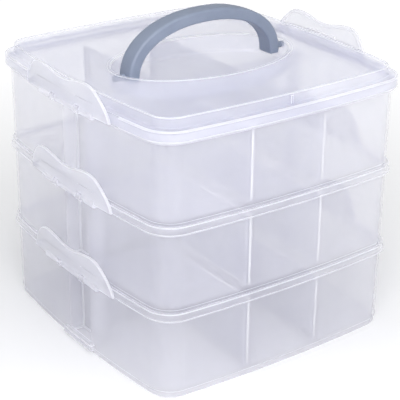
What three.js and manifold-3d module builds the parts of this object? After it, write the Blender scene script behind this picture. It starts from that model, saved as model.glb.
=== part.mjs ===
// A stacking sewing box: three identical trays, a lid with a folding carry handle, side latches that
// hold each layer to the one above it, and lift-out dividers. Millimetres, +Z up. The origin is at the
// centre of the underside. The front is the -Y side, and the latches are on the -X and +X sides.
import * as THREE from "three";
import { mergeVertices } from "three/addons/utils/BufferGeometryUtils.js";
import Module from "manifold-3d";

const wasm = await Module();
wasm.setup();

// Driving dimensions of the plan outline, shared by trays, lid and latches
const HALF_WIDTH = 70; // X, at the virtual corner
const HALF_DEPTH = 73; // Y, at the virtual corner
const BOW_X = 4.8; // how far the left and right walls bulge
const BOW_Y = 3.2; // how far the front and back walls bulge
const CORNER = 13;
const SIDE_STEPS = 3;
const CORNER_STEPS = 4;
const FEATURE_Y = -4; // centre line of the handle, latches, lugs and niches

// Layers
const PITCH = 44.1;
const WALL = 1.5;
const FOOT_IN = 0.7; // the foot ring is stepped in from the wall above it
const FOOT_TOP = 3.3;
const FLOOR_UNDERSIDE = 2;
const FLOOR_TOP = 3.5;
const FLANGE_BOTTOM = 42.1;
const FLANGE_OUT = 1.4;
const BEAD_OUT = 2; // a bead runs along the lower edge of the flange, except under the latches
const BEAD_TOP = 42.9;
const SEAT = PITCH - 0.3; // the layer above stands on it, with the drawing gap
const LIP_TOP = 46.2;
const LIP_IN = -0.3;
const INNER_TOP = 41.9; // top of the centre wall and dividers

// Side niche and lug of each tray
const NICHE_HALF = 10;
const NICHE_DEPTH = 8;
const NICHE_TOP = 40.7;
const LUG_HALF = 13;
const LUG_OUT = 2.4;
const LUG_BOTTOM = 2.6;
const LUG_TOP = 5.9;
const BITE = 1; // how far added blocks reach into the wall that carries them
const SINK = 0.5; // how far ribs and the centre wall reach into the floor
const SPARE = 5; // how far cutting blocks reach past what they cut

// Dividers and the slots they slide into
const DIVIDER_X = 21.5;
const DIVIDER_THICK = 1.2;
const DIVIDER_RELIEF = 3;
const CENTRE_WALL_THICK = 1.3;
const RIB_WIDTH = 1.1;
const SLOT_WIDTH = 1.8;
const RIB_DEPTH = 2.2;
const CENTRE_RIB_DEPTH = 1.5;
const GAP = 0.3;

// Latches
const HINGE_OUT = 3.4; // hinge axis outside the wall
const HINGE_Z = 43.8;
const ROD_RADIUS = 1;
const BARREL_RADIUS = 1.7;
const EAR_RADIUS = 2.2;
const EAR_IN = 9;
const EAR_OUT = 13;
const BARREL_HALF = 24;
const PLATE_IN = 3.2;
const PLATE_THICK = 1.5;
const PLATE_LEAN = 0.12; // outward lean per mm of height
const LEAN_START = 2.7; // above the hinge axis
const LATCH_HALF = 36.5;
// Half of the plate's outline as (y, height above the hinge axis): bend and end of each curve in turn
const LATCH_CURVE = [[36, 2.4], [34.2, 5.6], [31.8, 9.6], [27.5, 13.2], [24.5, 15.8], [19, 15.6], [12, 15],
  [7, 13.5], [3, 12.9], [0, 12.9]];
const SNAP_IN = 2.75;
const SNAP_HALF = 11;
const SNAP_HEIGHT = 1.6;
const SNAP_BITE = 0.6;

// Lid
const LID_Z = 3 * PITCH;
const SKIRT_BOTTOM = LID_Z - 1;
const SKIRT_IN = 1.7;
const SKIRT_OUT = 2.8;
const PLATE_UNDERSIDE = LID_Z + 2.4;
const SHOULDER = LID_Z + 4.4;
const PLATEAU_IN = -2;
const PLATEAU_WALL = 1.4;
const PANEL_UNDERSIDE = LID_Z + 7.2;
const PANEL_TOP = LID_Z + 8.5;
const RIDGE_TOP = LID_Z + 9.2;
const LID_LUG_TOP = LID_Z + LUG_TOP;
const LATCH_NOTCH_HALF = 41.5;
const WELL_A = 50;
const WELL_B = 30.5;
const WELL_WALL = 1.3;
const WELL_RIM = 2.2;
const RIM_RISE = 0.4;
const TICK_HALF = 0.6; // a small rib in the middle of the plateau's front and back
const TICK_OUT = 0.8;
const WELL_FLOOR = LID_Z - 0.7;
const WELL_UNDERSIDE = LID_Z - 1.8;

// Handle
const PIVOT_Z = LID_Z + 6.1;
const ARCH_DROP = 1.6; // the arch springs from below the pivot axis
const LEG_END = 2.7; // length of the legs below the pivot axis
const BAIL_SPAN = 46;
const BAIL_RISE = 28.7;
const BAIL_THICK = 6;
const BAIL_WIDTH = 10;
const BAIL_POWER = 2.2;
const BAIL_EDGE = 1.2;
const PIN_RADIUS = 1.6;
const PIN_END = 52;

const CLEAR_PLASTIC = { color: 0xdfe1ee, roughness: 0.3, metalness: 0, transparent: true, opacity: 0.6 };
const DIVIDER_PLASTIC = { color: 0xe6e8f2, roughness: 0.3, metalness: 0, transparent: true, opacity: 0.6 };
const LATCH_PLASTIC = { color: 0xe4e5ef, roughness: 0.35, metalness: 0, transparent: true, opacity: 0.75 };
const HANDLE_PLASTIC = { color: 0x7e8a9e, roughness: 0.45, metalness: 0 };

// ---- Solids ----

function toSolid(geometry) {
  const bare = geometry.clone();
  bare.deleteAttribute("normal");
  bare.deleteAttribute("uv");
  const merged = mergeVertices(bare, 1e-4);
  const mesh = new wasm.Mesh({
    numProp: 3,
    vertProperties: new Float32Array(merged.attributes.position.array),
    triVerts: new Uint32Array(merged.index.array),
  });
  return new wasm.Manifold(mesh);
}

function toGeometry(solid) {
  const mesh = solid.getMesh();
  const geometry = new THREE.BufferGeometry();
  geometry.setAttribute("position", new THREE.BufferAttribute(mesh.vertProperties, 3));
  geometry.setIndex(new THREE.BufferAttribute(mesh.triVerts, 1));
  geometry.computeVertexNormals();
  return geometry;
}

function box(x0, x1, y0, y1, z0, z1) {
  const geometry = new THREE.BoxGeometry(Math.abs(x1 - x0), Math.abs(y1 - y0), z1 - z0);
  geometry.translate((x0 + x1) / 2, (y0 + y1) / 2, (z0 + z1) / 2);
  return toSolid(geometry);
}

function prism(points, z0, z1) {
  const shape = new THREE.Shape(points);
  const geometry = new THREE.ExtrudeGeometry(shape, { depth: z1 - z0, bevelEnabled: false });
  geometry.translate(0, 0, z0);
  return toSolid(geometry);
}

// A cylinder along X or Y through the point (x, y, z) at its middle
function rod(axis, radius, length, x, y, z, steps = 16) {
  const geometry = new THREE.CylinderGeometry(radius, radius, length, steps);
  if (axis === "x") geometry.rotateZ(Math.PI / 2);
  geometry.translate(x, y, z);
  return toSolid(geometry);
}

// ---- Plan outline: bowed sides joined by tangent corner arcs ----

const frontBulge = (x) => HALF_DEPTH + BOW_Y * (1 - (x / HALF_WIDTH) ** 2);
const sideBulge = (y) => HALF_WIDTH + BOW_X * (1 - (y / HALF_DEPTH) ** 2);
const frontTilt = (x) => Math.atan((2 * BOW_Y * x) / HALF_WIDTH ** 2);
const sideTilt = (y) => Math.atan((2 * BOW_X * y) / HALF_DEPTH ** 2);

// Centre of the corner arc in the first quadrant, and where it meets the two sides
function cornerArc() {
  let cx = HALF_WIDTH - CORNER;
  let cy = HALF_DEPTH - CORNER;
  let x = cx;
  let y = cy;
  for (let i = 0; i < 12; i++) {
    x = cx + CORNER * Math.sin(frontTilt(x));
    y = cy + CORNER * Math.sin(sideTilt(y));
    cy = frontBulge(x) - CORNER * Math.cos(frontTilt(x));
    cx = sideBulge(y) - CORNER * Math.cos(sideTilt(y));
  }
  return { cx, cy, x, y };
}

// Points and outward angles of the first quadrant, from the +X side round to the +Y side
function quadrant() {
  const arc = cornerArc();
  const list = [];
  for (let i = 0; i < SIDE_STEPS; i++) {
    const y = (arc.y * i) / SIDE_STEPS;
    list.push({ x: sideBulge(y), y, angle: sideTilt(y) });
  }
  const start = sideTilt(arc.y);
  const end = Math.PI / 2 - frontTilt(arc.x);
  for (let i = 0; i <= CORNER_STEPS; i++) {
    const angle = start + ((end - start) * i) / CORNER_STEPS;
    list.push({ x: arc.cx + CORNER * Math.cos(angle), y: arc.cy + CORNER * Math.sin(angle), angle });
  }
  for (let i = SIDE_STEPS - 1; i >= 0; i--) {
    const x = (arc.x * i) / SIDE_STEPS;
    list.push({ x, y: frontBulge(x), angle: Math.PI / 2 - frontTilt(x) });
  }
  return list;
}

const QUADRANT = quadrant();

// The closed outline, moved outwards by offset
function outline(offset) {
  const first = QUADRANT.map(({ x, y, angle }) => {
    return [x + offset * Math.cos(angle), y + offset * Math.sin(angle)];
  });
  const second = first.slice(0, -1).reverse().map(([x, y]) => [-x, y]);
  const upper = [...first, ...second];
  const lower = upper.slice(1, -1).reverse().map(([x, y]) => [x, -y]);
  return [...upper, ...lower].map(([x, y]) => new THREE.Vector2(x, y));
}

function ellipse(a, b, steps = 40) {
  const points = [];
  for (let i = 0; i < steps; i++) {
    const angle = (2 * Math.PI * i) / steps;
    points.push(new THREE.Vector2(a * Math.cos(angle), FEATURE_Y + b * Math.sin(angle)));
  }
  return points;
}

// Wall position on the centre line of the side features
const SIDE_WALL = sideBulge(FEATURE_Y);
const HINGE_X = SIDE_WALL + HINGE_OUT;

// ---- Trays ----

// Two ribs that hold one edge of a divider, between y0 and y1
function slotRibs(x, y0, y1) {
  const ribs = [];
  for (const side of [-1, 1]) {
    const middle = x + (side * (SLOT_WIDTH + RIB_WIDTH)) / 2;
    ribs.push(box(middle - RIB_WIDTH / 2, middle + RIB_WIDTH / 2, y0, y1, FLOOR_TOP - SINK, INNER_TOP));
  }
  return ribs;
}

function flangeBead() {
  let bead = prism(outline(BEAD_OUT), FLANGE_BOTTOM, BEAD_TOP).subtract(prism(outline(0), 0, PITCH));
  for (const side of [-1, 1]) {
    bead = bead.subtract(box(side * (HALF_WIDTH - SPARE), side * (SIDE_WALL + SPARE),
      FEATURE_Y - LATCH_HALF - 1, FEATURE_Y + LATCH_HALF + 1, 0, PITCH));
  }
  return bead;
}

function trayShell() {
  return prism(outline(-FOOT_IN), 0, FOOT_TOP)
    .add(prism(outline(0), FOOT_TOP, FLANGE_BOTTOM))
    .add(prism(outline(FLANGE_OUT), FLANGE_BOTTOM, LIP_TOP))
    .add(flangeBead())
    .subtract(prism(outline(LIP_IN), SEAT, LIP_TOP + SPARE))
    .subtract(prism(outline(-WALL), FLOOR_TOP, LIP_TOP + SPARE))
    .subtract(prism(outline(-FOOT_IN - WALL), -SPARE, FLOOR_UNDERSIDE));
}

// The niche behind the latch of the layer below, seen from inside the tray as a block
function addNiche(tray, side) {
  const face = side * (SIDE_WALL - NICHE_DEPTH);
  const half = NICHE_HALF + WALL;
  const block = box(face - side * WALL, side * (SIDE_WALL - BITE), FEATURE_Y - half, FEATURE_Y + half,
    FLOOR_UNDERSIDE, FLANGE_BOTTOM);
  const recess = box(face, side * (SIDE_WALL + SPARE), FEATURE_Y - NICHE_HALF, FEATURE_Y + NICHE_HALF,
    FLOOR_TOP, NICHE_TOP);
  return tray.add(block).subtract(recess);
}

function addLug(tray, side) {
  const lug = box(side * (SIDE_WALL - BITE), side * (SIDE_WALL + LUG_OUT), FEATURE_Y - LUG_HALF,
    FEATURE_Y + LUG_HALF, LUG_BOTTOM, LUG_TOP);
  return tray.add(lug);
}

function addEars(tray, side) {
  let result = tray;
  for (const end of [-1, 1]) {
    const inner = FEATURE_Y + end * EAR_IN;
    const outer = FEATURE_Y + end * EAR_OUT;
    const length = EAR_OUT - EAR_IN;
    const middle = (inner + outer) / 2;
    const web = box(side * SIDE_WALL, side * HINGE_X, inner, outer, FLANGE_BOTTOM, HINGE_Z + EAR_RADIUS);
    result = result
      .add(web)
      .add(rod("y", EAR_RADIUS, length, side * HINGE_X, middle, HINGE_Z))
      .subtract(rod("y", ROD_RADIUS + GAP, length + SPARE, side * HINGE_X, middle, HINGE_Z));
  }
  return result;
}

function makeTray() {
  let tray = trayShell();
  for (const side of [-1, 1]) {
    tray = addNiche(tray, side);
    tray = addLug(tray, side);
    tray = addEars(tray, side);
  }
  const nicheFace = SIDE_WALL - NICHE_DEPTH - WALL / 2;
  const halfThick = CENTRE_WALL_THICK / 2;
  tray = tray.add(box(-nicheFace, nicheFace, -halfThick, halfThick, FLOOR_TOP - SINK, INNER_TOP));
  const wallFace = frontBulge(DIVIDER_X) - WALL;
  for (const x of [-DIVIDER_X, DIVIDER_X]) {
    for (const end of [-1, 1]) {
      const ribs = [
        ...slotRibs(x, end * (wallFace - RIB_DEPTH), end * (wallFace + WALL / 2)),
        ...slotRibs(x, 0, end * (halfThick + CENTRE_RIB_DEPTH)),
      ];
      for (const rib of ribs) tray = tray.add(rib);
    }
  }
  return toGeometry(tray);
}

// A removable divider, standing in its slots; its two lower corners are cut back for the floor's radius
function makeDivider(x, end) {
  const inner = CENTRE_WALL_THICK / 2 + GAP;
  const outer = frontBulge(DIVIDER_X) - WALL - GAP;
  const bottom = FLOOR_TOP + GAP;
  const shape = new THREE.Shape([
    new THREE.Vector2(inner, bottom),
    new THREE.Vector2(outer - DIVIDER_RELIEF, bottom),
    new THREE.Vector2(outer, bottom + DIVIDER_RELIEF),
    new THREE.Vector2(outer, INNER_TOP),
    new THREE.Vector2(inner, INNER_TOP),
  ]);
  const geometry = new THREE.ExtrudeGeometry(shape, { depth: DIVIDER_THICK, bevelEnabled: false });
  geometry.rotateX(Math.PI / 2);
  geometry.rotateZ((end * Math.PI) / 2);
  geometry.translate(x - (end * DIVIDER_THICK) / 2, 0, 0);
  return geometry;
}

// ---- Latches ----

// Outline of the latch plate in (y, z): a straight foot, sloping sides and two humps with a dip between
function latchShape() {
  const half = LATCH_CURVE.map(([y, rise]) => [y, HINGE_Z + rise]);
  const shape = new THREE.Shape();
  shape.moveTo(-LATCH_HALF, HINGE_Z);
  shape.lineTo(LATCH_HALF, HINGE_Z);
  for (let i = 0; i < half.length; i += 2) {
    shape.quadraticCurveTo(...half[i], ...half[i + 1]);
  }
  for (let i = half.length - 2; i > 0; i -= 2) {
    const [[endY, endZ], [bendY, bendZ]] = [half[i - 1], half[i]];
    shape.quadraticCurveTo(-bendY, bendZ, -endY, endZ);
  }
  shape.quadraticCurveTo(-half[0][0], half[0][1], -LATCH_HALF, HINGE_Z);
  return shape;
}

// Turns a shape drawn in (y, z) into a slab between x0 and x1
function slab(shape, x0, x1, curveSegments) {
  const geometry = new THREE.ExtrudeGeometry(shape, { depth: x1 - x0, bevelEnabled: false, curveSegments });
  geometry.rotateX(Math.PI / 2);
  geometry.rotateZ(Math.PI / 2);
  geometry.translate(x0, FEATURE_Y, 0);
  return toSolid(geometry);
}

// The latch on the +X side
function makeLatch() {
  const band = prism(outline(PLATE_IN + PLATE_THICK), 0, 2 * PITCH)
    .subtract(prism(outline(PLATE_IN), -SPARE, 2 * PITCH + SPARE));
  let latch = slab(latchShape(), SIDE_WALL - SPARE, SIDE_WALL + 2 * SPARE, 3).intersect(band);
  latch = latch.add(rod("y", BARREL_RADIUS, 2 * BARREL_HALF, HINGE_X, FEATURE_Y, HINGE_Z));
  for (const end of [-1, 1]) {
    const middle = FEATURE_Y + (end * (EAR_IN + EAR_OUT)) / 2;
    const room = EAR_OUT - EAR_IN + 2 * GAP;
    latch = latch.subtract(rod("y", EAR_RADIUS + GAP, room, HINGE_X, middle, HINGE_Z));
  }
  const snapZ = PITCH + LUG_TOP + GAP;
  latch = latch
    .add(rod("y", ROD_RADIUS, 2 * (EAR_OUT + BITE), HINGE_X, FEATURE_Y, HINGE_Z))
    .add(box(SIDE_WALL + SNAP_IN, SIDE_WALL + PLATE_IN + SNAP_BITE, FEATURE_Y - SNAP_HALF,
      FEATURE_Y + SNAP_HALF, snapZ, snapZ + SNAP_HEIGHT));
  const geometry = toGeometry(latch);
  const position = geometry.attributes.position;
  for (let i = 0; i < position.count; i++) {
    const rise = Math.max(0, position.getZ(i) - HINGE_Z - LEAN_START);
    position.setX(i, position.getX(i) + PLATE_LEAN * rise);
  }
  geometry.computeVertexNormals();
  return geometry;
}

// ---- Lid and handle ----

// The skirt is cut away where the latches close over it
function skirtRing() {
  const rooms = skirtRoom(-1)
    .add(skirtRoom(1))
    .subtract(prism(outline(SKIRT_IN + 0.1), PLATE_UNDERSIDE, SHOULDER + SPARE));
  return prism(outline(SKIRT_OUT), SKIRT_BOTTOM, SHOULDER)
    .subtract(prism(outline(SKIRT_IN), SKIRT_BOTTOM - SPARE, PLATE_UNDERSIDE))
    .subtract(rooms);
}

function skirtRoom(side) {
  return box(side * (HALF_WIDTH - SPARE), side * (SIDE_WALL + SPARE), FEATURE_Y - LATCH_NOTCH_HALF,
    FEATURE_Y + LATCH_NOTCH_HALF, SKIRT_BOTTOM - 1, SHOULDER + 1);
}

function makeLid() {
  const inside = outline(PLATEAU_IN - PLATEAU_WALL);
  let lid = skirtRing()
    .add(prism(outline(PLATEAU_IN), PLATE_UNDERSIDE, RIDGE_TOP))
    .subtract(prism(inside, PLATE_UNDERSIDE - SPARE, PANEL_UNDERSIDE))
    .subtract(prism(inside, PANEL_TOP, RIDGE_TOP + SPARE))
    .add(prism(ellipse(WELL_A + WELL_RIM, WELL_B + WELL_RIM), PANEL_UNDERSIDE, PANEL_TOP + RIM_RISE))
    .add(prism(ellipse(WELL_A + WELL_WALL, WELL_B + WELL_WALL), WELL_UNDERSIDE, PANEL_TOP))
    .subtract(prism(ellipse(WELL_A, WELL_B), WELL_FLOOR, RIDGE_TOP + SPARE));
  for (const side of [-1, 1]) {
    const lug = box(side * (SIDE_WALL - 3 * BITE), side * (SIDE_WALL + LUG_OUT), FEATURE_Y - LUG_HALF,
      FEATURE_Y + LUG_HALF, PLATE_UNDERSIDE, LID_LUG_TOP);
    const tickFace = frontBulge(0) + PLATEAU_IN;
    const tick = box(-TICK_HALF, TICK_HALF, side * (tickFace - SINK), side * (tickFace + TICK_OUT),
      SHOULDER - SINK, PANEL_TOP);
    const pinHole = rod("x", PIN_RADIUS + GAP, SPARE, side * (WELL_A + 1), FEATURE_Y, PIVOT_Z);
    lid = lid.add(lug).add(tick).subtract(pinHole);
  }
  return toGeometry(lid);
}

// One arch edge of the bail, from +X over the top to -X, with its leg ends
function arch(span, rise, steps = 22) {
  const points = [new THREE.Vector2(span, ARCH_DROP - LEG_END)];
  for (let i = 1; i < steps; i++) {
    const angle = (Math.PI * i) / steps;
    const c = Math.cos(angle);
    const x = span * Math.sign(c) * Math.abs(c) ** (2 / BAIL_POWER);
    points.push(new THREE.Vector2(x, rise * Math.sin(angle) ** (2 / BAIL_POWER)));
  }
  points.push(new THREE.Vector2(-span, ARCH_DROP - LEG_END));
  return points;
}

// The bail, with its pivot axis through the local origin and its legs cut off level
function makeHandle() {
  const outer = arch(BAIL_SPAN, BAIL_RISE);
  const inner = arch(BAIL_SPAN - BAIL_THICK, BAIL_RISE - BAIL_THICK).reverse();
  const geometry = new THREE.ExtrudeGeometry(new THREE.Shape([...outer, ...inner]), {
    depth: BAIL_WIDTH - 2 * BAIL_EDGE,
    bevelThickness: BAIL_EDGE,
    bevelSize: BAIL_EDGE,
    bevelOffset: -BAIL_EDGE,
    bevelSegments: 2,
  });
  geometry.translate(0, 0, -BAIL_WIDTH / 2 + BAIL_EDGE);
  geometry.rotateX(Math.PI / 2);
  geometry.translate(0, 0, -ARCH_DROP);
  let bail = toSolid(geometry);
  const pinInner = BAIL_SPAN - BAIL_THICK / 2;
  for (const side of [-1, 1]) {
    bail = bail.add(rod("x", PIN_RADIUS, PIN_END - pinInner, (side * (PIN_END + pinInner)) / 2, 0, 0));
  }
  return toGeometry(bail);
}

// ---- Assembly ----

const group = new THREE.Group();

function place(name, geometry, finish, parent = group) {
  const mesh = new THREE.Mesh(geometry, new THREE.MeshStandardMaterial(finish));
  mesh.name = name;
  parent.add(mesh);
  return mesh;
}

const LAYERS = ["bottom", "middle", "top"];
const trayGeometry = makeTray();
const latchGeometry = makeLatch();

LAYERS.forEach((layer, index) => {
  const level = new THREE.Group();
  level.position.z = index * PITCH;
  group.add(level);
  place("tray_" + layer, trayGeometry, CLEAR_PLASTIC, level);
  place("latch_" + layer + "_right", latchGeometry, LATCH_PLASTIC, level);
  place("latch_" + layer + "_left", latchGeometry, LATCH_PLASTIC, level).scale.x = -1;
  for (const [row, end] of [["front", -1], ["back", 1]]) {
    for (const [column, x] of [["left", -DIVIDER_X], ["right", DIVIDER_X]]) {
      place(["divider", layer, row, column].join("_"), makeDivider(x, end), DIVIDER_PLASTIC, level);
    }
  }
});

place("lid", makeLid(), CLEAR_PLASTIC);
const handle = place("handle", makeHandle(), HANDLE_PLASTIC);
handle.position.set(0, FEATURE_Y, PIVOT_Z);

export default group;
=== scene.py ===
"""Looks of the stacking sewing box: milky clear trays, lid, dividers and latches, and a slate bail handle.

Lengths in this script are in millimetres in the CAD frame and are turned into metres where a mesh is made.
"""

import math

import bmesh
import bpy
from mathutils import Matrix, Vector


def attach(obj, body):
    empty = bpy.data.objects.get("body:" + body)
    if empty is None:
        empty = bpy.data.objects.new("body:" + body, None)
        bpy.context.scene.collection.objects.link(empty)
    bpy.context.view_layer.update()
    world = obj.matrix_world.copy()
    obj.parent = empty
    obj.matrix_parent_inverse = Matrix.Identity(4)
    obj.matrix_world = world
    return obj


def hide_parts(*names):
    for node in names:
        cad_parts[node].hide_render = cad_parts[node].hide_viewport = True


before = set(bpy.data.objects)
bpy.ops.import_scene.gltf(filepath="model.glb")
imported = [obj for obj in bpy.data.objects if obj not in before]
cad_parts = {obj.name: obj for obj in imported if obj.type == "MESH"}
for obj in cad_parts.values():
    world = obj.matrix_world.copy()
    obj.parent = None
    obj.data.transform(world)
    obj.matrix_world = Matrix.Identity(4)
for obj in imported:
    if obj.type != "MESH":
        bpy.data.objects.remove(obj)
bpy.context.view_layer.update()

MM = 0.001

# Plan outline shared by trays, lid and latches
HALF_WIDTH = 70
HALF_DEPTH = 73
BOW_X = 4.8
BOW_Y = 3.2
CORNER = 13
SIDE_STEPS = 12
CORNER_STEPS = 10
FEATURE_Y = -4

# Layers
PITCH = 44.1
WALL = 1.5
FOOT_IN = 0.7
FOOT_TOP = 3.3
FLOOR_UNDERSIDE = 2
FLOOR_TOP = 3.5
FLANGE_BOTTOM = 42.1
FLANGE_OUT = 1.4
BEAD_OUT = 2
BEAD_TOP = 42.9
SEAT = 43.8
LIP_TOP = 46.2
LIP_IN = -0.3
INNER_TOP = 41.9
NICHE_HALF = 10
NICHE_DEPTH = 8
NICHE_TOP = 40.7
LUG_HALF = 13
LUG_OUT = 2.4
LUG_BOTTOM = 2.6
LUG_TOP = 5.9

# Dividers and slots
DIVIDER_X = 21.5
DIVIDER_THICK = 1.2
CENTRE_WALL_THICK = 1.3
RIB_WIDTH = 1.1
SLOT_WIDTH = 1.8
RIB_DEPTH = 2.2
CENTRE_RIB_DEPTH = 1.5
GAP = 0.3

# Latches
HINGE_OUT = 3.4
HINGE_Z = 43.8
BARREL_RADIUS = 1.7
BARREL_HALF = 24
EAR_RADIUS = 2.2
EAR_IN = 9
EAR_OUT = 13
ROD_RADIUS = 1
PLATE_IN = 3.2
PLATE_OUT = 4.7
PLATE_LEAN = 0.12
LEAN_START = 2.7
LATCH_HALF = 36.5
LATCH_CURVE = ((36, 2.4), (34.2, 5.6), (31.8, 9.6), (27.5, 13.2), (24.5, 15.8), (19, 15.6), (12, 15),
               (7, 13.5), (3, 12.9), (0, 12.9))  # (y, height above the hinge): bends and ends in turn

# Lid
SKIRT_OUT = 2.8
SKIRT_IN = 1.7
SKIRT_BOTTOM = 131.3
PLATE_UNDERSIDE = 134.7
SHOULDER = 136.7
PANEL_UNDERSIDE = 139.5
PANEL_TOP = 140.8
RIDGE_TOP = 141.5
LID_LUG_TOP = 138.2
LATCH_NOTCH_HALF = 41.5
WELL_A = 50
WELL_B = 30.5
WELL_WALL = 1.3
WELL_RIM = 2.2
WELL_FLOOR = 131.6
WELL_UNDERSIDE = 130.5

# Handle
PIVOT_Z = 138.4
ARCH_Z = 136.8
BAIL_SPAN = 46
BAIL_RISE = 28.7
BAIL_THICK = 6
BAIL_WIDTH = 10
BAIL_POWER = 2.2
LEG_END = 2.7
PIN_RADIUS = 1.6
PIN_END = 52

BODY, EDGE = 0, 1  # material slots of every clear piece; faces tagged EDGE get a painted highlight, a whiter and more opaque plastic on rounds and rims


# ---- Mesh helpers ----


def new_object(name, verts, faces, tags=None):
    mesh = bpy.data.meshes.new(name)
    mesh.from_pydata([[c * MM for c in v] for v in verts], [], faces)
    bm = bmesh.new()
    bm.from_mesh(mesh)
    if tags:
        for face, tag in zip(bm.faces, tags):
            face.material_index = tag
    bmesh.ops.remove_doubles(bm, verts=bm.verts, dist=1e-7)
    bmesh.ops.recalc_face_normals(bm, faces=bm.faces)
    bm.to_mesh(mesh)
    bm.free()
    obj = bpy.data.objects.new(name, mesh)
    bpy.context.scene.collection.objects.link(obj)
    for _ in (BODY, EDGE):
        mesh.materials.append(PLACEHOLDER)
    return obj


def loft(name, rings, tags=None):
    """A closed solid through rings of equal length. tags[i] marks the faces between ring i and i+1."""
    count = len(rings[0])
    verts = [p for ring in rings for p in ring]
    faces, marks = [], []
    for i in range(len(rings) - 1):
        a, b = i * count, (i + 1) * count
        for j in range(count):
            k = (j + 1) % count
            faces.append((a + j, a + k, b + k, b + j))
            marks.append(tags[i] if tags else BODY)
    faces.append(tuple(range(count)))
    faces.append(tuple(range((len(rings) - 1) * count, len(rings) * count)))
    marks += [BODY, BODY]
    return new_object(name, verts, faces, marks)


def combine(base, tool, operation):
    """Joins tool to base or cuts it away, and removes tool."""
    modifier = base.modifiers.new("combine", "BOOLEAN")
    modifier.operation = operation
    modifier.solver = "MANIFOLD"
    modifier.object = tool
    bpy.context.view_layer.update()
    evaluated = base.evaluated_get(bpy.context.evaluated_depsgraph_get())
    made = bpy.data.meshes.new_from_object(evaluated)
    base.modifiers.clear()
    old = base.data
    base.data = made
    bpy.data.meshes.remove(old)
    spare = tool.data
    bpy.data.objects.remove(tool)
    bpy.data.meshes.remove(spare)
    return base


def join(base, *tools):
    for tool in tools:
        combine(base, tool, "UNION")
    return base


def cut(base, *tools):
    for tool in tools:
        combine(base, tool, "DIFFERENCE")
    return base


def rounded_box(x0, x1, y0, y1, z0, z1, radius=0.3, segments=2):
    """A box with rounded edges, whose rounds take the EDGE slot's painted highlight."""
    bm = bmesh.new()
    bmesh.ops.create_cube(bm, size=1)
    size = (abs(x1 - x0), abs(y1 - y0), abs(z1 - z0))
    middle = ((x0 + x1) / 2, (y0 + y1) / 2, (z0 + z1) / 2)
    for v in bm.verts:
        v.co = Vector([(v.co[i] * size[i] + middle[i]) * MM for i in range(3)])
    made = bmesh.ops.bevel(bm, geom=bm.edges[:], offset=radius * MM, segments=segments,
                           affect="EDGES", profile=0.5)
    for face in made["faces"]:
        face.material_index = EDGE
    mesh = bpy.data.meshes.new("box")
    bmesh.ops.recalc_face_normals(bm, faces=bm.faces)
    bm.to_mesh(mesh)
    bm.free()
    obj = bpy.data.objects.new("box", mesh)
    bpy.context.scene.collection.objects.link(obj)
    for _ in (BODY, EDGE):
        mesh.materials.append(PLACEHOLDER)
    return obj


def rod(axis, radius, start, end, a, b, steps=32):
    """A cylinder along x or y from start to end; a and b are its other two coordinates."""
    rings = []
    for inset, along in ((0.2, start), (0, start + 0.2), (0, end - 0.2), (0.2, end)):
        ring = []
        for i in range(steps):
            angle = 2 * math.pi * i / steps
            p, q = (radius - inset) * math.cos(angle), (radius - inset) * math.sin(angle)
            ring.append((along, a + p, b + q) if axis == "x" else (a + p, along, b + q))
        rings.append(ring)
    return loft("rod", rings)


def finish_mesh(obj, angle=32):
    """Smooth shading with creases at real corners."""
    bm = bmesh.new()
    bm.from_mesh(obj.data)
    limit = math.radians(angle)
    for face in bm.faces:
        face.smooth = True
    for edge in bm.edges:
        edge.smooth = len(edge.link_faces) == 2 and edge.calc_face_angle(0) < limit
    bm.to_mesh(obj.data)
    bm.free()
    weighted = obj.modifiers.new("weighted", "WEIGHTED_NORMAL")
    weighted.keep_sharp = True
    weighted.weight = 50
    return obj


# ---- Plan outline ----


def front_bulge(x):
    return HALF_DEPTH + BOW_Y * (1 - (x / HALF_WIDTH) ** 2)


def side_bulge(y):
    return HALF_WIDTH + BOW_X * (1 - (y / HALF_DEPTH) ** 2)


def front_tilt(x):
    return math.atan(2 * BOW_Y * x / HALF_WIDTH**2)


def side_tilt(y):
    return math.atan(2 * BOW_X * y / HALF_DEPTH**2)


def quadrant():
    """Points and outward angles from the +X side round to the +Y side."""
    cx, cy = HALF_WIDTH - CORNER, HALF_DEPTH - CORNER
    x, y = cx, cy
    passes = 12  # by then the corner's centre has settled where it meets both sides smoothly
    for _ in range(passes):
        x = cx + CORNER * math.sin(front_tilt(x))
        y = cy + CORNER * math.sin(side_tilt(y))
        cy = front_bulge(x) - CORNER * math.cos(front_tilt(x))
        cx = side_bulge(y) - CORNER * math.cos(side_tilt(y))
    points = []
    for i in range(SIDE_STEPS):
        t = y * i / SIDE_STEPS
        points.append((side_bulge(t), t, side_tilt(t)))
    start, end = side_tilt(y), math.pi / 2 - front_tilt(x)
    for i in range(CORNER_STEPS + 1):
        a = start + (end - start) * i / CORNER_STEPS
        points.append((cx + CORNER * math.cos(a), cy + CORNER * math.sin(a), a))
    for i in range(SIDE_STEPS - 1, -1, -1):
        t = x * i / SIDE_STEPS
        points.append((t, front_bulge(t), math.pi / 2 - front_tilt(t)))
    return points


QUADRANT = quadrant()


def outline(offset, z):
    """The plan outline, moved outwards by offset, at height z."""
    first = [(x + offset * math.cos(a), y + offset * math.sin(a)) for x, y, a in QUADRANT]
    upper = first + [(-x, y) for x, y in first[-2::-1]]
    lower = [(x, -y) for x, y in upper[-2:0:-1]]
    return [(x, y, z) for x, y in upper + lower]


def ellipse(grow, z):
    """The well's outline, grown by grow, at height z."""
    steps = 96
    angles = [2 * math.pi * i / steps for i in range(steps)]
    return [((WELL_A + grow) * math.cos(a), FEATURE_Y + (WELL_B + grow) * math.sin(a), z) for a in angles]


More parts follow.
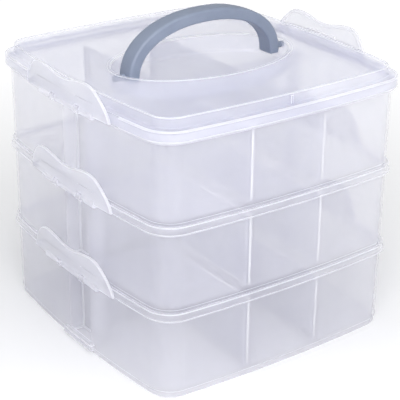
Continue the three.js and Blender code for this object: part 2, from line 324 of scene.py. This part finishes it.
def profile(*parts):
    """Rings' (offset, z, tag) from points (offset, z[, tag]) and arcs ("arc", co, cz, r, from, to, tag)."""
    out = []
    for part in parts:
        if part[0] == "arc":
            _, co, cz, r, a0, a1, tag = part
            steps = 4
            for i in range(steps + 1):
                a = math.radians(a0 + (a1 - a0) * i / steps)
                out.append((co + r * math.cos(a), cz + r * math.sin(a), tag if i < steps else BODY))
        else:
            out.append((part[0], part[1], part[2] if len(part) > 2 else BODY))
    return out


def sweep(name, ring_at, shape):
    """A solid whose section, as given by profile, runs round ring_at."""
    return loft(name, [ring_at(o, z) for o, z, _ in shape], [t for _, _, t in shape])


SIDE_WALL = side_bulge(FEATURE_Y)
HINGE_X = SIDE_WALL + HINGE_OUT


# ---- Materials ----

PLACEHOLDER = bpy.data.materials.new("placeholder")


class Nodes:
    """Short names for building a node tree."""

    def __init__(self, name):
        self.material = bpy.data.materials.new(name)
        self.material.use_nodes = True
        self.tree = self.material.node_tree
        self.shader = self.tree.nodes["Principled BSDF"]
        self.coords = self.add("ShaderNodeTexCoord").outputs["Object"]

    def add(self, kind, **settings):
        node = self.tree.nodes.new(kind)
        for key, value in settings.items():
            setattr(node, key, value)
        return node

    def link(self, a, b):
        self.tree.links.new(a, b)

    def noise(self, scale, detail=3.0, stretch=(1, 1, 1)):
        mapping = self.add("ShaderNodeMapping")
        mapping.inputs["Scale"].default_value = stretch
        self.link(self.coords, mapping.inputs["Vector"])
        node = self.add("ShaderNodeTexNoise")
        node.inputs["Scale"].default_value = scale
        node.inputs["Detail"].default_value = detail
        self.link(mapping.outputs["Vector"], node.inputs["Vector"])
        return node.outputs["Fac"]

    def spread(self, value, low, high, start=0.3, end=0.7):
        node = self.add("ShaderNodeMapRange")
        node.inputs["From Min"].default_value = start
        node.inputs["From Max"].default_value = end
        node.inputs["To Min"].default_value = low
        node.inputs["To Max"].default_value = high
        self.link(value, node.inputs["Value"])
        return node.outputs["Result"]

    def tint(self, value, dark, light):
        node = self.add("ShaderNodeValToRGB")
        node.color_ramp.elements[0].color = (*dark, 1)
        node.color_ramp.elements[1].color = (*light, 1)
        node.color_ramp.elements[0].position = 0.3
        node.color_ramp.elements[1].position = 0.7
        self.link(value, node.inputs["Fac"])
        return node.outputs["Color"]

    def bump(self, height, distance):
        node = self.add("ShaderNodeBump")
        node.inputs["Distance"].default_value = distance
        node.inputs["Strength"].default_value = 1
        self.link(height, node.inputs["Height"])
        self.link(node.outputs["Normal"], self.shader.inputs["Normal"])


def clear_plastic(name, dark, light, alpha, roughness=0.22, bump=0.00002, frost=0.0):
    """Milky polypropylene: cloudy flow, faint scuffs, and a moulded waviness that breaks up reflections."""
    n = Nodes(name)
    clouds = n.noise(28, 4)
    flow = n.noise(14, 3, (1, 1, 0.25))
    scuffs = n.noise(420, 2)
    n.link(n.tint(clouds, dark, light), n.shader.inputs["Base Color"])
    density = 0.02  # how far the milkiness varies either way
    body = n.spread(flow, alpha - density, alpha + density)
    rough = n.spread(scuffs, roughness - 0.02, roughness + 0.03 + frost)
    n.link(body, n.shader.inputs["Alpha"])
    n.link(rough, n.shader.inputs["Roughness"])
    n.shader.inputs["IOR"].default_value = 1.45
    n.shader.inputs["Subsurface Weight"].default_value = 0.5
    n.shader.inputs["Subsurface Radius"].default_value = (1, 1, 1)
    n.shader.inputs["Subsurface Scale"].default_value = 0.004
    fine = n.noise(900, 2) if frost else n.noise(55, 3)  # frosted grain, or the mould's waviness
    n.bump(fine, bump)
    return n.material


# Each *_edge material is a painted highlight: the same plastic made whiter and more opaque on rounds, rims
# and edges, where light catches them.
TRAY = clear_plastic("tray_plastic", (0.82, 0.82, 0.92), (0.87, 0.87, 0.96), alpha=0.19)
TRAY_EDGE_HIGHLIGHT = clear_plastic("tray_edge", (0.86, 0.86, 0.94), (0.91, 0.91, 0.98), alpha=0.42)
LID = clear_plastic("lid_plastic", (0.75, 0.76, 0.91), (0.81, 0.82, 0.96), alpha=0.24)
LID_EDGE_HIGHLIGHT = clear_plastic("lid_edge_highlight", (0.87, 0.88, 0.97), (0.92, 0.93, 1.0), alpha=0.5)
# The divider body is a darker copy of the clear plastic: painted shade for the weaker light inside the
# trays.
DIVIDER = clear_plastic("divider_plastic", (0.58, 0.59, 0.69), (0.64, 0.65, 0.73), alpha=0.23)
DIVIDER_EDGE_HIGHLIGHT = clear_plastic("divider_edge", (0.95, 0.95, 0.98), (0.98, 0.98, 1.0), alpha=0.85)
LATCH = clear_plastic("latch_plastic", (0.82, 0.82, 0.91), (0.88, 0.88, 0.96), alpha=0.34,
                      roughness=0.42, bump=0.00004, frost=0.15)
LATCH_EDGE_HIGHLIGHT = clear_plastic("latch_edge", (0.86, 0.86, 0.94), (0.92, 0.92, 0.99), alpha=0.5,
                           roughness=0.4, bump=0.00004, frost=0.15)


def handle_plastic():
    n = Nodes("handle_plastic")
    tone = n.noise(60, 4)
    grain = n.noise(1400, 3)
    n.link(n.tint(tone, (0.215, 0.253, 0.338), (0.255, 0.295, 0.386)), n.shader.inputs["Base Color"])
    n.link(n.spread(n.noise(300, 2), 0.36, 0.48), n.shader.inputs["Roughness"])
    n.bump(grain, 0.00003)
    return n.material


HANDLE = handle_plastic()


def dress(obj, body, edge):
    obj.data.materials[BODY] = body
    obj.data.materials[EDGE] = edge


# ---- Trays ----


def slot_ribs(x, y0, y1):
    ribs = []
    y0, y1 = min(y0, y1), max(y0, y1)
    for side in (-1, 1):
        middle = x + side * (SLOT_WIDTH + RIB_WIDTH) / 2
        ribs.append(rounded_box(middle - RIB_WIDTH / 2, middle + RIB_WIDTH / 2, y0, y1,
                                FLOOR_TOP - 0.5, INNER_TOP, 0.25))
    return ribs


def tray_shell():
    return sweep("tray", outline, profile(
        (-4, FLOOR_UNDERSIDE), (-FOOT_IN - 1.8, FLOOR_UNDERSIDE), (-FOOT_IN - 1.5, FLOOR_UNDERSIDE - 0.3),
        (-FOOT_IN - 1.5, 0.3),
        ("arc", -FOOT_IN - 1.2, 0.3, 0.3, 180, 270, EDGE),
        ("arc", -FOOT_IN - 0.4, 0.4, 0.4, 270, 360, EDGE),
        (-FOOT_IN, FOOT_TOP - 0.3), (-FOOT_IN + 0.1, FOOT_TOP - 0.06),
        ("arc", -0.4, FOOT_TOP + 0.4, 0.4, 255, 360, EDGE),
        (0, FLANGE_BOTTOM - 0.35),
        ("arc", 0.35, FLANGE_BOTTOM - 0.35, 0.35, 180, 90, EDGE),
        (FLANGE_OUT - 0.35, FLANGE_BOTTOM, EDGE),
        ("arc", FLANGE_OUT - 0.35, FLANGE_BOTTOM + 0.35, 0.35, 270, 360, EDGE),
        (FLANGE_OUT, FLANGE_BOTTOM + 0.6), (FLANGE_OUT, LIP_TOP - 0.45, EDGE),
        ("arc", FLANGE_OUT - 0.4, LIP_TOP - 0.4, 0.4, 0, 90, EDGE),
        ("arc", LIP_IN + 0.3, LIP_TOP - 0.3, 0.3, 90, 180, EDGE),
        (LIP_IN, SEAT + 0.2), (LIP_IN - 0.2, SEAT, BODY),
        ("arc", -WALL + 0.4, SEAT - 0.4, 0.4, 90, 180, EDGE),
        (-WALL, FLOOR_TOP + 1.5),
        ("arc", -WALL - 1.5, FLOOR_TOP + 1.5, 1.5, 360, 270, BODY),
        (-WALL - 3, FLOOR_TOP)))


def flange_bead():
    """The bead along the lower edge of the flange; it stops short of the latches."""
    soft = 0.3
    bead = sweep("bead", outline, profile(
        (FLANGE_OUT - 0.6, FLANGE_BOTTOM), (BEAD_OUT - soft, FLANGE_BOTTOM, EDGE),
        ("arc", BEAD_OUT - soft, FLANGE_BOTTOM + soft, soft, 270, 360, EDGE),
        ("arc", BEAD_OUT - soft, BEAD_TOP - soft, soft, 0, 70, EDGE),
        (FLANGE_OUT, BEAD_TOP + 0.3, EDGE), (FLANGE_OUT - 0.6, BEAD_TOP + 0.3)))
    bore = FLANGE_OUT - 0.7
    cut(bead, sweep("core", outline, profile((bore, FLANGE_BOTTOM - 1), (bore, BEAD_TOP + 2))))
    for side in (-1, 1):
        cut(bead, rounded_box(side * (HALF_WIDTH - 5), side * (SIDE_WALL + 5), FEATURE_Y - LATCH_HALF - 1,
                              FEATURE_Y + LATCH_HALF + 1, FLANGE_BOTTOM - 3, BEAD_TOP + 3))
    return bead


def niche(side):
    """The block inside the tray and the recess cut into it from outside."""
    face = side * (SIDE_WALL - NICHE_DEPTH)
    half = NICHE_HALF + WALL
    block = rounded_box(face - side * WALL, side * (SIDE_WALL - 0.8), FEATURE_Y - half, FEATURE_Y + half,
                        FLOOR_UNDERSIDE + 0.2, FLANGE_BOTTOM, 0.7, 3)
    recess = rounded_box(face, side * (SIDE_WALL + 5), FEATURE_Y - NICHE_HALF, FEATURE_Y + NICHE_HALF,
                         FLOOR_TOP, NICHE_TOP, 0.7, 3)
    return block, recess


def lug(side, z0, z1, inner=1.0):
    return rounded_box(side * (SIDE_WALL - inner), side * (SIDE_WALL + LUG_OUT), FEATURE_Y - LUG_HALF,
                       FEATURE_Y + LUG_HALF, z0, z1, 0.5, 3)


def ears(tray, side):
    for end in (-1, 1):
        inner, outer = sorted((FEATURE_Y + end * EAR_IN, FEATURE_Y + end * EAR_OUT))
        web = rounded_box(side * (SIDE_WALL - 0.3), side * HINGE_X, inner, outer, FLANGE_BOTTOM,
                          HINGE_Z + EAR_RADIUS, 0.2)
        join(tray, web, rod("y", EAR_RADIUS, inner, outer, side * HINGE_X, HINGE_Z))
        cut(tray, rod("y", ROD_RADIUS + GAP, inner - 1, outer + 1, side * HINGE_X, HINGE_Z, 24))


def make_tray():
    tray = join(tray_shell(), flange_bead())
    for side in (-1, 1):
        block, recess = niche(side)
        join(tray, block)
        cut(tray, recess)
        join(tray, lug(side, LUG_BOTTOM, LUG_TOP))
        ears(tray, side)
    reach = SIDE_WALL - NICHE_DEPTH - WALL / 2
    thick = CENTRE_WALL_THICK / 2
    join(tray, rounded_box(-reach, reach, -thick, thick, FLOOR_TOP - 0.5, INNER_TOP, 0.4, 3))
    face = front_bulge(DIVIDER_X) - WALL
    for x in (-DIVIDER_X, DIVIDER_X):
        for end in (-1, 1):
            join(tray, *slot_ribs(x, end * (face - RIB_DEPTH), end * (face + WALL / 2)))
            join(tray, *slot_ribs(x, end * thick / 2, end * (thick + CENTRE_RIB_DEPTH)))
    finish_mesh(tray)
    dress(tray, TRAY, TRAY_EDGE_HIGHLIGHT)
    return tray


# ---- Dividers ----


def divider_outline(end, inset):
    inner = CENTRE_WALL_THICK / 2 + GAP + inset
    outer = front_bulge(DIVIDER_X) - WALL - GAP - inset
    bottom = FLOOR_TOP + GAP + inset
    top = INNER_TOP - inset
    relief, soft, steps = 3, 0.8, 5
    points = []
    for cy, cz, r, a0, a1 in ((inner + soft, bottom + soft, soft, 180, 270),
                              (outer - relief, bottom + relief, relief, 270, 360),
                              (outer - soft, top - soft, soft, 0, 90),
                              (inner + soft, top - soft, soft, 90, 180)):
        for i in range(steps + 1):
            a = math.radians(a0 + (a1 - a0) * i / steps)
            points.append((end * (cy + r * math.cos(a)), cz + r * math.sin(a)))
    return points


def make_divider(name, x, end):
    half, edge, bend = DIVIDER_THICK / 2, 0.3, 0.09
    stations = ((-half, edge + 0.5, BODY), (-half, edge, EDGE), (-half + bend, bend, EDGE),
                (-half + edge, 0, EDGE), (half - edge, 0, EDGE), (half - bend, bend, EDGE),
                (half, edge, BODY), (half, edge + 0.5, BODY))  # (x, inset, tag)
    rings = [[(x + s, y, z) for y, z in divider_outline(end, inset)] for s, inset, _ in stations]
    divider = loft(name, rings, [t for _, _, t in stations])
    finish_mesh(divider, 50)
    dress(divider, DIVIDER, DIVIDER_EDGE_HIGHLIGHT)
    return divider


# ---- Latches ----


def quadratic(p, q, r, steps):
    out = []
    for i in range(steps):
        t = i / steps
        out.append(tuple((1 - t) ** 2 * p[k] + 2 * t * (1 - t) * q[k] + t * t * r[k] for k in (0, 1)))
    return out


def latch_outline():
    """The plate's outline in (y, z) about its own middle: wide foot, sloping sides, two humps."""
    steps, base_steps = 8, 14  # along one bend, and along half the foot
    knots = [(LATCH_HALF, HINGE_Z)] + [(y, HINGE_Z + rise) for y, rise in LATCH_CURVE]
    right = [p for i in range(0, len(knots) - 2, 2) for p in quadratic(*knots[i:i + 3], steps)]
    left = [(-y, z) for y, z in right[::-1]]
    base = [(LATCH_HALF * (i / base_steps - 1), HINGE_Z) for i in range(1, 2 * base_steps)]
    return right + [knots[-1]] + left + base


def inset_outline(points, distance):
    """Moves each point inwards along the mean of its two edges' normals."""
    out = []
    count = len(points)
    for i in range(count):
        (y0, z0), (y1, z1), (y2, z2) = points[i - 1], points[i], points[(i + 1) % count]
        ny, nz = 0.0, 0.0
        for dy, dz in ((y1 - y0, z1 - z0), (y2 - y1, z2 - z1)):
            length = math.hypot(dy, dz) or 1
            ny -= dz / length
            nz += dy / length
        length = math.hypot(ny, nz) or 1
        out.append((y1 + distance * ny / length, z1 + distance * nz / length))
    return out


def make_latch():
    points = latch_outline()
    area = sum(points[i - 1][0] * points[i][1] - points[i][0] * points[i - 1][1] for i in range(len(points)))
    sense = 1 if area > 0 else -1
    core_y, core_z = 25, HINGE_Z + 7  # half length and height of the line that the rings close on

    def station(inset, shrink, out):
        ring = []
        for y, z in inset_outline(points, sense * inset):
            near = (max(-core_y, min(core_y, y)), core_z)
            y = y + (near[0] - y) * shrink
            z = z + (near[1] - z) * shrink
            a = side_tilt(y + FEATURE_Y)
            x = side_bulge(y + FEATURE_Y) + out * math.cos(a)
            rise = max(0, z - HINGE_Z - LEAN_START)
            ring.append((x + PLATE_LEAN * rise, y + FEATURE_Y + out * math.sin(a), z))
        return ring

    edge, bend, border = 0.45, 0.13, 2.9
    face, back = PLATE_OUT - 0.15, PLATE_IN + 0.6  # inside the border, where the plate is thinner
    stations = [(border, 0.97, face, BODY), (border, 0.5, face, BODY), (border, 0, face, BODY),
                (2.3, 0, PLATE_OUT, BODY), (edge, 0, PLATE_OUT, EDGE), (bend, 0, PLATE_OUT - bend, EDGE),
                (0, 0, PLATE_OUT - edge, EDGE), (0, 0, PLATE_IN + edge, EDGE),
                (bend, 0, PLATE_IN + bend, EDGE), (edge, 0, PLATE_IN, EDGE), (1.7, 0, PLATE_IN, BODY),
                (2.1, 0, PLATE_IN + 0.5, BODY), (border, 0, back, BODY), (border, 0.5, back, BODY),
                (border, 0.97, back, BODY)]
    latch = loft("latch", [station(i, s, o) for i, s, o, _ in stations], [t for *_, t in stations])
    ends = (-BARREL_HALF, -EAR_OUT - GAP, -EAR_IN + GAP, EAR_IN - GAP, EAR_OUT + GAP, BARREL_HALF)
    for end in (-1, 1):
        inner, outer = sorted((end * (EAR_IN - GAP), end * (EAR_OUT + GAP)))
        cut(latch, rod("y", EAR_RADIUS + 0.35, FEATURE_Y + inner, FEATURE_Y + outer, HINGE_X, HINGE_Z))
    for i in (0, 2, 4):
        join(latch, rod("y", BARREL_RADIUS, FEATURE_Y + ends[i], FEATURE_Y + ends[i + 1], HINGE_X, HINGE_Z))
    join(latch, rod("y", ROD_RADIUS, FEATURE_Y - EAR_OUT - 1, FEATURE_Y + EAR_OUT + 1, HINGE_X, HINGE_Z, 24))
    snap = PITCH + LUG_TOP + 0.3
    lean = PLATE_LEAN * 4.2
    join(latch, rounded_box(SIDE_WALL + 2.75 + lean, SIDE_WALL + PLATE_IN + 1.2 + lean, FEATURE_Y - 11,
                            FEATURE_Y + 11, snap, snap + 1.6, 0.35))
    finish_mesh(latch)
    dress(latch, LATCH, LATCH_EDGE_HIGHLIGHT)
    return latch


# ---- Lid ----


def lid_shell():
    wall = 3.4
    return sweep("lid", outline, profile(
        (-7, PANEL_TOP), (-wall - 0.4, PANEL_TOP, EDGE), (-wall - 0.1, PANEL_TOP + 0.1, EDGE),
        ("arc", -wall + 0.35, RIDGE_TOP - 0.35, 0.35, 180, 90, EDGE),
        ("arc", -2.45, RIDGE_TOP - 0.45, 0.45, 90, 0, EDGE),
        (-2, SHOULDER + 0.6),
        ("arc", -1.4, SHOULDER + 0.6, 0.6, 180, 270, BODY),
        (SKIRT_OUT - 1.2, SHOULDER, EDGE),
        ("arc", SKIRT_OUT - 0.7, SHOULDER - 0.7, 0.7, 90, 0, EDGE),
        (SKIRT_OUT, SHOULDER - 1.1), (SKIRT_OUT, SKIRT_BOTTOM + 0.7, EDGE),
        ("arc", SKIRT_OUT - 0.35, SKIRT_BOTTOM + 0.35, 0.35, 360, 270, EDGE),
        ("arc", SKIRT_IN + 0.25, SKIRT_BOTTOM + 0.25, 0.25, 270, 180, EDGE),
        (SKIRT_IN, PLATE_UNDERSIDE - 0.3), (SKIRT_IN - 0.3, PLATE_UNDERSIDE),
        ("arc", -wall + 0.25, PLATE_UNDERSIDE + 0.25, 0.25, 270, 180, BODY),
        ("arc", -wall - 0.5, PANEL_UNDERSIDE - 0.5, 0.5, 0, 90, BODY),
        (-7, PANEL_UNDERSIDE)))


def make_lid():
    lid = lid_shell()
    keep = SKIRT_IN + 0.1
    for side in (-1, 1):
        room = rounded_box(side * (HALF_WIDTH - 5), side * (SIDE_WALL + 10), FEATURE_Y - LATCH_NOTCH_HALF,
                           FEATURE_Y + LATCH_NOTCH_HALF, SKIRT_BOTTOM - 3, SHOULDER + 3, 0.8, 3)
        cut(room, sweep("keep", outline, profile((keep, SKIRT_BOTTOM - 5), (keep, SHOULDER + 5))))
        cut(lid, room)
        join(lid, lug(side, PLATE_UNDERSIDE, LID_LUG_TOP, 3))
        face = front_bulge(0) - 2
        y0, y1 = sorted((side * (face - 0.5), side * (face + 0.8)))
        join(lid, rounded_box(-0.7, 0.7, y0, y1, SHOULDER - 0.5, PANEL_TOP, 0.3))
    well = sweep("well", ellipse, profile(
        (-5, WELL_UNDERSIDE), ("arc", WELL_WALL - 2.4, WELL_UNDERSIDE + 2.4, 2.4, 270, 360, BODY),
        (WELL_WALL, PANEL_TOP - 0.5)))
    rim = sweep("rim", ellipse, profile(
        (WELL_RIM, PANEL_UNDERSIDE + 0.1), (WELL_RIM, PANEL_TOP + 0.05, EDGE),
        ("arc", WELL_RIM - 0.35, PANEL_TOP + 0.05, 0.35, 0, 90, EDGE), (-3, PANEL_TOP + 0.4)))
    room = sweep("room", ellipse, profile(
        (-6, WELL_FLOOR), ("arc", -1.8, WELL_FLOOR + 1.8, 1.8, 270, 360, BODY),
        (0, PANEL_TOP - 0.2, EDGE),
        ("arc", 0.6, PANEL_TOP - 0.2, 0.6, 180, 90, EDGE), (0.9, PANEL_TOP + 1, EDGE), (0.9, RIDGE_TOP + 3)))
    join(lid, well, rim)
    cut(lid, room)
    for side in (-1, 1):
        x0, x1 = sorted((side * (WELL_A - 1), side * (WELL_A + 3)))
        cut(lid, rod("x", PIN_RADIUS + GAP, x0, x1, FEATURE_Y, PIVOT_Z))
    finish_mesh(lid)
    dress(lid, LID, LID_EDGE_HIGHLIGHT)
    return lid


# ---- Handle ----


def bail_point(span, rise, angle):
    c, s = math.cos(angle), math.sin(angle)
    return (span * math.copysign(abs(c) ** (2 / BAIL_POWER), c), ARCH_Z + rise * s ** (2 / BAIL_POWER))


def bail_section():
    """(share of the thickness from inside to outside, y) round the bail's section: crowned outside."""
    half, thick = BAIL_WIDTH / 2, BAIL_THICK
    outer, inner, steps = 1.5, 1.0, 6  # corner radii and steps
    points = []
    corners = ((thick - outer, half - outer, outer, 0, 90), (inner, half - inner, inner, 90, 180),
               (inner, -half + inner, inner, 180, 270), (thick - outer, -half + outer, outer, 270, 360))
    for cn, cy, r, a0, a1 in corners:
        for i in range(steps + 1):
            a = math.radians(a0 + (a1 - a0) * i / steps)
            points.append(((cn + r * math.cos(a)) / thick, cy + r * math.sin(a)))
    swell, reach = 0.03, half * 0.62  # height of the crown as a share of the thickness, and its half width
    crown = [(1.0 + swell * (1 - t * t), reach * t) for t in (-0.9, -0.5, 0, 0.5, 0.9)]
    return points + crown


def make_handle():
    section = bail_section()
    stations = 72
    foot = PIVOT_Z - LEG_END
    legs = [(1.2, foot), (0.5, foot + 0.15), (0.12, foot + 0.5), (0, foot + 1.1)]  # (inset, z)

    def ring(outer, inner, inset=0.0):
        out = []
        shrink_n, shrink_y = 1 - 2 * inset / BAIL_THICK, 1 - 2 * inset / BAIL_WIDTH
        for share, y in section:
            share = 0.5 + (share - 0.5) * shrink_n
            out.append((inner[0] + (outer[0] - inner[0]) * share, FEATURE_Y + y * shrink_y,
                        inner[1] + (outer[1] - inner[1]) * share))
        return out

    rings = [ring((BAIL_SPAN, z), (BAIL_SPAN - BAIL_THICK, z), inset) for inset, z in legs]
    for i in range(stations + 1):
        angle = math.pi * i / stations
        rings.append(ring(bail_point(BAIL_SPAN, BAIL_RISE, angle),
                          bail_point(BAIL_SPAN - BAIL_THICK, BAIL_RISE - BAIL_THICK, angle)))
    rings += [ring((-BAIL_SPAN, z), (-BAIL_SPAN + BAIL_THICK, z), inset) for inset, z in legs[::-1]]
    handle = loft("handle_bail", rings)
    for side in (-1, 1):
        x0, x1 = sorted((side * (BAIL_SPAN - BAIL_THICK / 2), side * PIN_END))
        join(handle, rod("x", PIN_RADIUS, x0, x1, FEATURE_Y, PIVOT_Z))
    finish_mesh(handle, 40)
    dress(handle, HANDLE, HANDLE)
    return handle


# ---- Assembly ----


def put(obj, name, body, lift=0.0):
    """Names a piece, lifts it to its layer, gives it its body, and hides the CAD node it stands for."""
    obj.name = name
    obj.data.name = name
    obj.location.z = lift * MM
    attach(obj, body)
    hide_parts(name.replace("_shell", ""))
    return obj


def copy_of(obj):
    twin = obj.copy()
    bpy.context.scene.collection.objects.link(twin)
    return twin


tray = make_tray()
latch_right = make_latch()
latch_left = copy_of(latch_right)
latch_left.data = latch_right.data.copy()
for vertex in latch_left.data.vertices:
    vertex.co.x = -vertex.co.x
latch_left.data.flip_normals()

dividers = {}
for row, end in (("front", -1), ("back", 1)):
    for column, x in (("left", -DIVIDER_X), ("right", DIVIDER_X)):
        dividers[row + "_" + column] = make_divider("divider", x, end)

for level, layer in enumerate(("bottom", "middle", "top")):
    last = layer == "top"
    lift = level * PITCH
    body = "tray_" + layer
    put(tray if last else copy_of(tray), body + "_shell", body, lift)
    for side, latch in (("left", latch_left), ("right", latch_right)):
        name = f"latch_{layer}_{side}"
        put(latch if last else copy_of(latch), name + "_shell", name, lift)
    for place, divider in dividers.items():
        name = f"divider_{layer}_{place}"
        put(divider if last else copy_of(divider), name + "_shell", body, lift)

put(make_lid(), "lid_shell", "lid")
put(make_handle(), "handle_shell", "handle")


# ---- Floor, light and camera ----


def add_floor():
    mesh = bpy.data.meshes.new("floor")
    half = 60
    mesh.from_pydata([(-half, -half, 0), (half, -half, 0), (half, half, 0), (-half, half, 0)], [],
                     [(0, 1, 2, 3)])
    floor = bpy.data.objects.new("floor", mesh)
    bpy.context.scene.collection.objects.link(floor)
    floor.location.z = -0.0001
    n = Nodes("floor")
    n.shader.inputs["Base Color"].default_value = (0.97, 0.97, 0.97, 1)
    n.shader.inputs["Roughness"].default_value = 0.9
    n.shader.inputs["Specular IOR Level"].default_value = 0.1
    n.shader.inputs["Emission Color"].default_value = (1, 1, 1, 1)
    # A white floor further out, and a plain pale one near the box, so that it doesn't light it from below
    reach = n.add("ShaderNodeVectorMath", operation="LENGTH")
    n.link(n.coords, reach.inputs[0])
    n.link(n.spread(reach.outputs["Value"], 0.0, 0.4, 0.12, 0.5), n.shader.inputs["Emission Strength"])
    mesh.materials.append(n.material)


def add_light(name, place, target, size, power):
    data = bpy.data.lights.new(name, "AREA")
    data.shape = "DISK"
    data.size = size
    data.energy = power
    light = bpy.data.objects.new(name, data)
    bpy.context.scene.collection.objects.link(light)
    light.location = place
    light.rotation_euler = (Vector(target) - Vector(place)).to_track_quat("-Z", "Y").to_euler()


def add_world():
    world = bpy.data.worlds.new("studio")
    bpy.context.scene.world = world
    world.use_nodes = True
    background = world.node_tree.nodes["Background"]
    background.inputs["Color"].default_value = (0.97, 0.98, 1.0, 1)
    background.inputs["Strength"].default_value = 0.45


def add_camera():
    azimuth, elevation, roll = (math.radians(a) for a in (-35.92, 24.11, 0.54))
    distance = 0.67992
    target = Vector((0.01375, 0.01544, 0.0514))
    back = Vector((math.sin(azimuth) * math.cos(elevation), -math.cos(azimuth) * math.cos(elevation),
                   math.sin(elevation)))
    right = Vector((math.cos(azimuth), math.sin(azimuth), 0))
    up = back.cross(right)
    turned = right * math.cos(roll) + up * math.sin(roll)
    camera = bpy.data.objects.new("camera", bpy.data.cameras.new("camera"))
    bpy.context.scene.collection.objects.link(camera)
    camera.matrix_world = Matrix((turned, back.cross(turned), back)).transposed().to_4x4()
    camera.location = target + back * distance
    camera.data.sensor_width = 36
    camera.data.lens = 112.17
    bpy.context.scene.camera = camera


add_floor()
add_world()
add_light("key", (-0.22, -0.33, 0.38), (0, 0, 0.11), size=0.3, power=1.5)
add_light("top", (0, 0, 2.0), (0, 0, 0), size=2.0, power=10)
add_light("fill", (0.5, -0.9, 0.8), (0, 0, 0.06), size=1.0, power=1.2)
add_camera()
bpy.context.scene.view_settings.view_transform = "Standard"
bpy.context.scene.cycles.transparent_max_bounces = 48  # many clear walls lie behind one another
